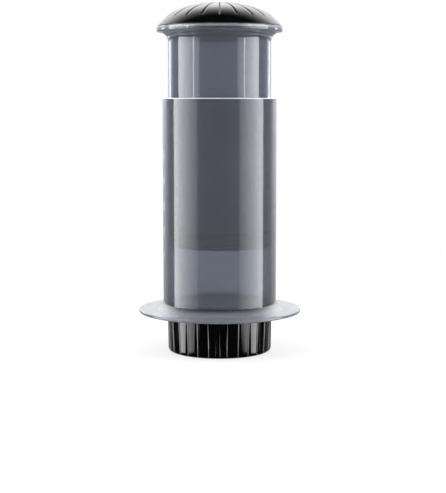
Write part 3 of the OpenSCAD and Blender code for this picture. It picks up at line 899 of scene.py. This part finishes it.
def pale_floor():
    """White paint that keeps shadows: to the eye, a share of plain white is laid over the lit paint, which
    grows from white_share near the press to all of it at white_far. Seen from below, the floor is clear."""
    material = bpy.data.materials.new("pale_floor")
    material.use_nodes = True
    nodes, links = material.node_tree.nodes, material.node_tree.links
    paint = nodes["Principled BSDF"]
    white = nodes.new("ShaderNodeEmission")
    path = nodes.new("ShaderNodeLightPath")
    seen = nodes.new("ShaderNodeMath")
    place = nodes.new("ShaderNodeTexCoord")
    away = nodes.new("ShaderNodeVectorMath")
    fade = nodes.new("ShaderNodeMapRange")
    share = nodes.new("ShaderNodeMath")
    blend = nodes.new("ShaderNodeMixShader")
    face = nodes.new("ShaderNodeNewGeometry")
    below = nodes.new("ShaderNodeMath")
    clear = nodes.new("ShaderNodeBsdfTransparent")
    sides = nodes.new("ShaderNodeMixShader")
    grain = nodes.new("ShaderNodeTexNoise")
    tone = nodes.new("ShaderNodeMapRange")
    grain.inputs["Scale"].default_value = 40
    set_range(tone, (0, 1), floor_tones)
    paint.inputs["Roughness"].default_value = 0.9
    paint.inputs["Specular IOR Level"].default_value = 0.1
    seen.operation = "MAXIMUM"
    away.operation = "LENGTH"
    fade.interpolation_type = "SMOOTHSTEP"
    set_range(fade, (white_near, white_far), (white_share, 1))
    share.operation = "MULTIPLY"
    below.operation = "MULTIPLY"
    links.new(place.outputs["Object"], away.inputs[0])
    links.new(away.outputs["Value"], fade.inputs["Value"])
    links.new(fade.outputs["Result"], share.inputs[1])
    links.new(grain.outputs["Fac"], tone.inputs["Value"])
    links.new(tone.outputs["Result"], paint.inputs["Base Color"])
    links.new(path.outputs["Is Camera Ray"], seen.inputs[0])
    links.new(path.outputs["Is Transmission Ray"], seen.inputs[1])
    links.new(seen.outputs["Value"], share.inputs[0])
    links.new(share.outputs["Value"], blend.inputs["Fac"])
    links.new(paint.outputs["BSDF"], blend.inputs[1])
    links.new(white.outputs["Emission"], blend.inputs[2])
    links.new(face.outputs["Backfacing"], below.inputs[0])
    links.new(path.outputs["Is Camera Ray"], below.inputs[1])
    links.new(below.outputs["Value"], sides.inputs["Fac"])
    links.new(blend.outputs["Shader"], sides.inputs[1])
    links.new(clear.outputs["BSDF"], sides.inputs[2])
    links.new(sides.outputs["Shader"], nodes["Material Output"].inputs["Surface"])
    return material


floor_mesh = bpy.data.meshes.new("studio_floor")
floor_corners = floor_half * np.array([[-1, -1, 0], [1, -1, 0], [1, 1, 0], [-1, 1, 0]])
floor_mesh.from_pydata(floor_corners.tolist(), [], [(0, 1, 2, 3)])
floor_mesh.materials.append(pale_floor())
floor = bpy.data.objects.new("studio_floor", floor_mesh)
bpy.context.scene.collection.objects.link(floor)
floor.visible_glossy = False

ambient = 0.6
behind_y, around_y = (0.4, 0.85), (0.15, 0.8)
level_z, level_light = (-0.22, 0.03), (0.3, 0.9)
aloft_z, aloft_light = (0.1, 0.65), (0, 2.1)


def white_surround():
    """World: strength 1 to the eye and through clear pieces, ambient for soft light, and for reflections
    a white field round +Y, with a wider and brighter one above the horizon."""
    world = bpy.data.worlds.new("white_surround")
    world.use_nodes = True
    nodes, links = world.node_tree.nodes, world.node_tree.links
    path = nodes.new("ShaderNodeLightPath")
    direction = nodes.new("ShaderNodeTexCoord")
    split = nodes.new("ShaderNodeSeparateXYZ")
    behind = nodes.new("ShaderNodeMapRange")
    level = nodes.new("ShaderNodeMapRange")
    low_field = nodes.new("ShaderNodeMath")
    around = nodes.new("ShaderNodeMapRange")
    aloft = nodes.new("ShaderNodeMapRange")
    field = nodes.new("ShaderNodeMath")
    mirrored = nodes.new("ShaderNodeMix")
    seen = nodes.new("ShaderNodeMath")
    strength = nodes.new("ShaderNodeMix")
    behind.interpolation_type = "SMOOTHSTEP"
    around.interpolation_type = "SMOOTHSTEP"
    set_range(behind, behind_y)
    set_range(around, around_y)
    set_range(level, level_z, level_light)
    set_range(aloft, aloft_z, aloft_light)
    low_field.operation = "MULTIPLY"
    field.operation = "MULTIPLY_ADD"
    seen.operation = "MAXIMUM"
    mirrored.inputs["A"].default_value = ambient
    strength.inputs["B"].default_value = 1
    links.new(direction.outputs["Generated"], split.inputs["Vector"])
    links.new(split.outputs["Y"], behind.inputs["Value"])
    links.new(split.outputs["Z"], level.inputs["Value"])
    links.new(split.outputs["Y"], around.inputs["Value"])
    links.new(split.outputs["Z"], aloft.inputs["Value"])
    links.new(behind.outputs["Result"], low_field.inputs[0])
    links.new(level.outputs["Result"], low_field.inputs[1])
    links.new(around.outputs["Result"], field.inputs[0])
    links.new(aloft.outputs["Result"], field.inputs[1])
    links.new(low_field.outputs["Value"], field.inputs[2])
    links.new(path.outputs["Is Glossy Ray"], mirrored.inputs["Factor"])
    links.new(field.outputs["Value"], mirrored.inputs["B"])
    links.new(path.outputs["Is Camera Ray"], seen.inputs[0])
    links.new(path.outputs["Is Transmission Ray"], seen.inputs[1])
    links.new(seen.outputs["Value"], strength.inputs["Factor"])
    links.new(mirrored.outputs["Result"], strength.inputs["A"])
    links.new(strength.outputs["Result"], nodes["Background"].inputs["Strength"])
    nodes["Background"].inputs["Color"].default_value = (1, 1, 1, 1)
    return world


bpy.context.scene.world = white_surround()

softbox_away = 0.8
softbox_height = 1.25
softbox_middle_z = 0.425
softbox_dim = 1.3
softbox_bright = 6.8
softbox_full = 0.85
softbox_curve = 1.5


def upright_lamp(name, turn, place, size, radiance=1.0):
    """Upright rectangular lamp at a place. It faces +Y, turned round the Z axis by turn, and the camera
    doesn't see it. Power = radiance * pi * area."""
    lamp = bpy.data.lights.new(name, "AREA")
    lamp.shape = "RECTANGLE"
    lamp.size, lamp.size_y = size
    lamp.energy = radiance * math.pi * lamp.size * lamp.size_y
    holder = bpy.data.objects.new(name, lamp)
    bpy.context.scene.collection.objects.link(holder)
    holder.location = place
    holder.rotation_euler = (math.radians(90), 0, turn)
    holder.visible_camera = False
    return holder


def graded_softbox(name, side, near_angle, far_angle):
    """Softbox beside the press, from a near to a far angle round the axis. Its radiance is dim at its front
    end and rises to bright at softbox_full of its width, with the share of that way to a power."""
    near_y = -softbox_away / math.tan(near_angle)
    far_y = -softbox_away / math.tan(far_angle)
    place = (side * softbox_away, (near_y + far_y) / 2, softbox_middle_z)
    softbox = upright_lamp(name, side * math.radians(90), place, (far_y - near_y, softbox_height))
    softbox.data.use_nodes = True
    nodes, links = softbox.data.node_tree.nodes, softbox.data.node_tree.links
    surface = nodes.new("ShaderNodeNewGeometry")
    split = nodes.new("ShaderNodeSeparateXYZ")
    grade = nodes.new("ShaderNodeMapRange")
    curve = nodes.new("ShaderNodeMath")
    radiance = nodes.new("ShaderNodeMath")
    set_range(grade, (0, softbox_full) if side > 0 else (1, 1 - softbox_full))
    curve.operation = "POWER"
    curve.inputs[1].default_value = softbox_curve
    radiance.operation = "MULTIPLY_ADD"
    radiance.inputs[1].default_value = softbox_bright - softbox_dim
    radiance.inputs[2].default_value = softbox_dim
    links.new(surface.outputs["Parametric"], split.inputs["Vector"])
    links.new(split.outputs["X"], grade.inputs["Value"])
    links.new(grade.outputs["Result"], curve.inputs[0])
    links.new(curve.outputs["Value"], radiance.inputs[0])
    links.new(radiance.outputs["Value"], nodes["Emission"].inputs["Strength"])


graded_softbox("softbox_left", -1, math.radians(44.5), math.radians(102.8))
graded_softbox("softbox_right", 1, math.radians(39.5), math.radians(96.1))

# Strip lights: a broad one on each side behind the press lights up the edges of clear pieces, and a thin
# one along each softbox draws a line down the plunger tube alone.
strip_light = 7.5
strip_size = (0.36, 1.2)
strip_away = 1.5
strip_middle_z = 0.4
strip_turn = math.radians(155)
line_light = 15.5
line_size = (0.016, softbox_height)
line_away = 0.9
line_left, line_right = math.radians(-58.9), math.radians(56.0)


def strip_lamp(name, turn, away, middle_z, size, radiance):
    """Upright strip that faces the press, at a turn round the axis from the camera's side."""
    place = (away * math.sin(turn), -away * math.cos(turn), middle_z)
    return upright_lamp(name, turn, place, size, radiance)


def light_one_wall(lamp, most_passes=2.5):
    """Hides a lamp behind a whole tube: its strength is 1 up to two passes through a surface, so it lights
    up a wall seen edge on, and 0 after more."""
    lamp.use_nodes = True
    nodes, links = lamp.node_tree.nodes, lamp.node_tree.links
    path = nodes.new("ShaderNodeLightPath")
    one_wall = nodes.new("ShaderNodeMath")
    one_wall.operation = "LESS_THAN"
    one_wall.inputs[1].default_value = most_passes
    links.new(path.outputs["Transmission Depth"], one_wall.inputs[0])
    links.new(one_wall.outputs["Value"], nodes["Emission"].inputs["Strength"])


for name, turn in (("strip_left", -strip_turn), ("strip_right", strip_turn)):
    strip = strip_lamp(name, turn, strip_away, strip_middle_z, strip_size, strip_light)
    strip.visible_glossy = False
    light_one_wall(strip.data)
polished_tube = bpy.data.collections.new("polished_tube")
polished_tube.objects.link(tube)
for name, turn in (("line_left", line_left), ("line_right", line_right)):
    line = strip_lamp(name, turn, line_away, softbox_middle_z, line_size, line_light)
    line.light_linking.receiver_collection = polished_tube

# Camera: at the photograph's viewing angle, level with the upper half of the chamber and looking
# slightly down.
image_w, image_h = 446, 493
focal_px = 1267.45
camera_place = (0, -0.7375, 0.1444)
camera_down = 6.446
camera_turn = -0.153
view_lens = bpy.data.cameras.new("photo_view")
view_lens.sensor_width = 36
view_lens.lens = view_lens.sensor_width * focal_px / max(image_w, image_h)
camera = bpy.data.objects.new("photo_view", view_lens)
bpy.context.scene.collection.objects.link(camera)
camera.location = camera_place
camera.rotation_euler = (math.radians(90 - camera_down), 0, math.radians(camera_turn))
bpy.context.scene.camera = camera
bpy.context.scene.view_settings.view_transform = "Standard"
